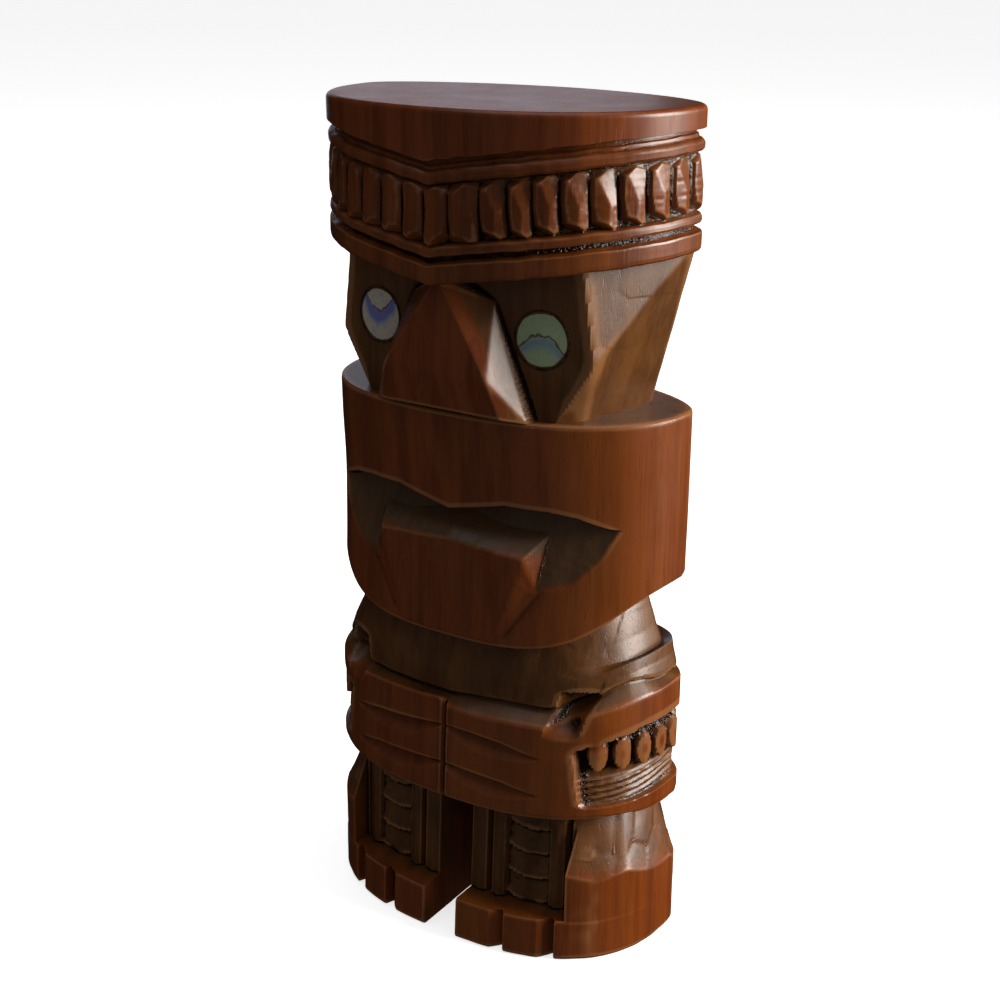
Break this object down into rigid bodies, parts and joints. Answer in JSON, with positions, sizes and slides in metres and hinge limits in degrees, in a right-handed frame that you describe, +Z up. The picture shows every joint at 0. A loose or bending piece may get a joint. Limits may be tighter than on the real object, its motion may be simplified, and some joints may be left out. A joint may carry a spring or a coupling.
{
  "type": "tekoteko figure",
  "caption": "Small carved wooden tekoteko figure with a banded head, inlaid shell eyes, protruding tongue, hands on the belly and short patterned legs.",
  "frame": {"origin": "on the ground, at the middle of the figure's box", "axes": "+Z up, the front of the figure faces -Y, +X is at the right hand of someone who looks at its front"},
  "size_m": [0.082, 0.0506, 0.18],
  "materials": {
    "carved_wood": "red-brown varnished wood with fine upright grain, satin to semi-gloss, dark stain in the grooves",
    "left_shell": null,
    "right_shell": null
  },
  "bodies": {
    "root": {"carved_figure": "carved_wood", "left_eye_shell": "left_shell", "right_eye_shell": "right_shell"}
  },
  "joints": []
}
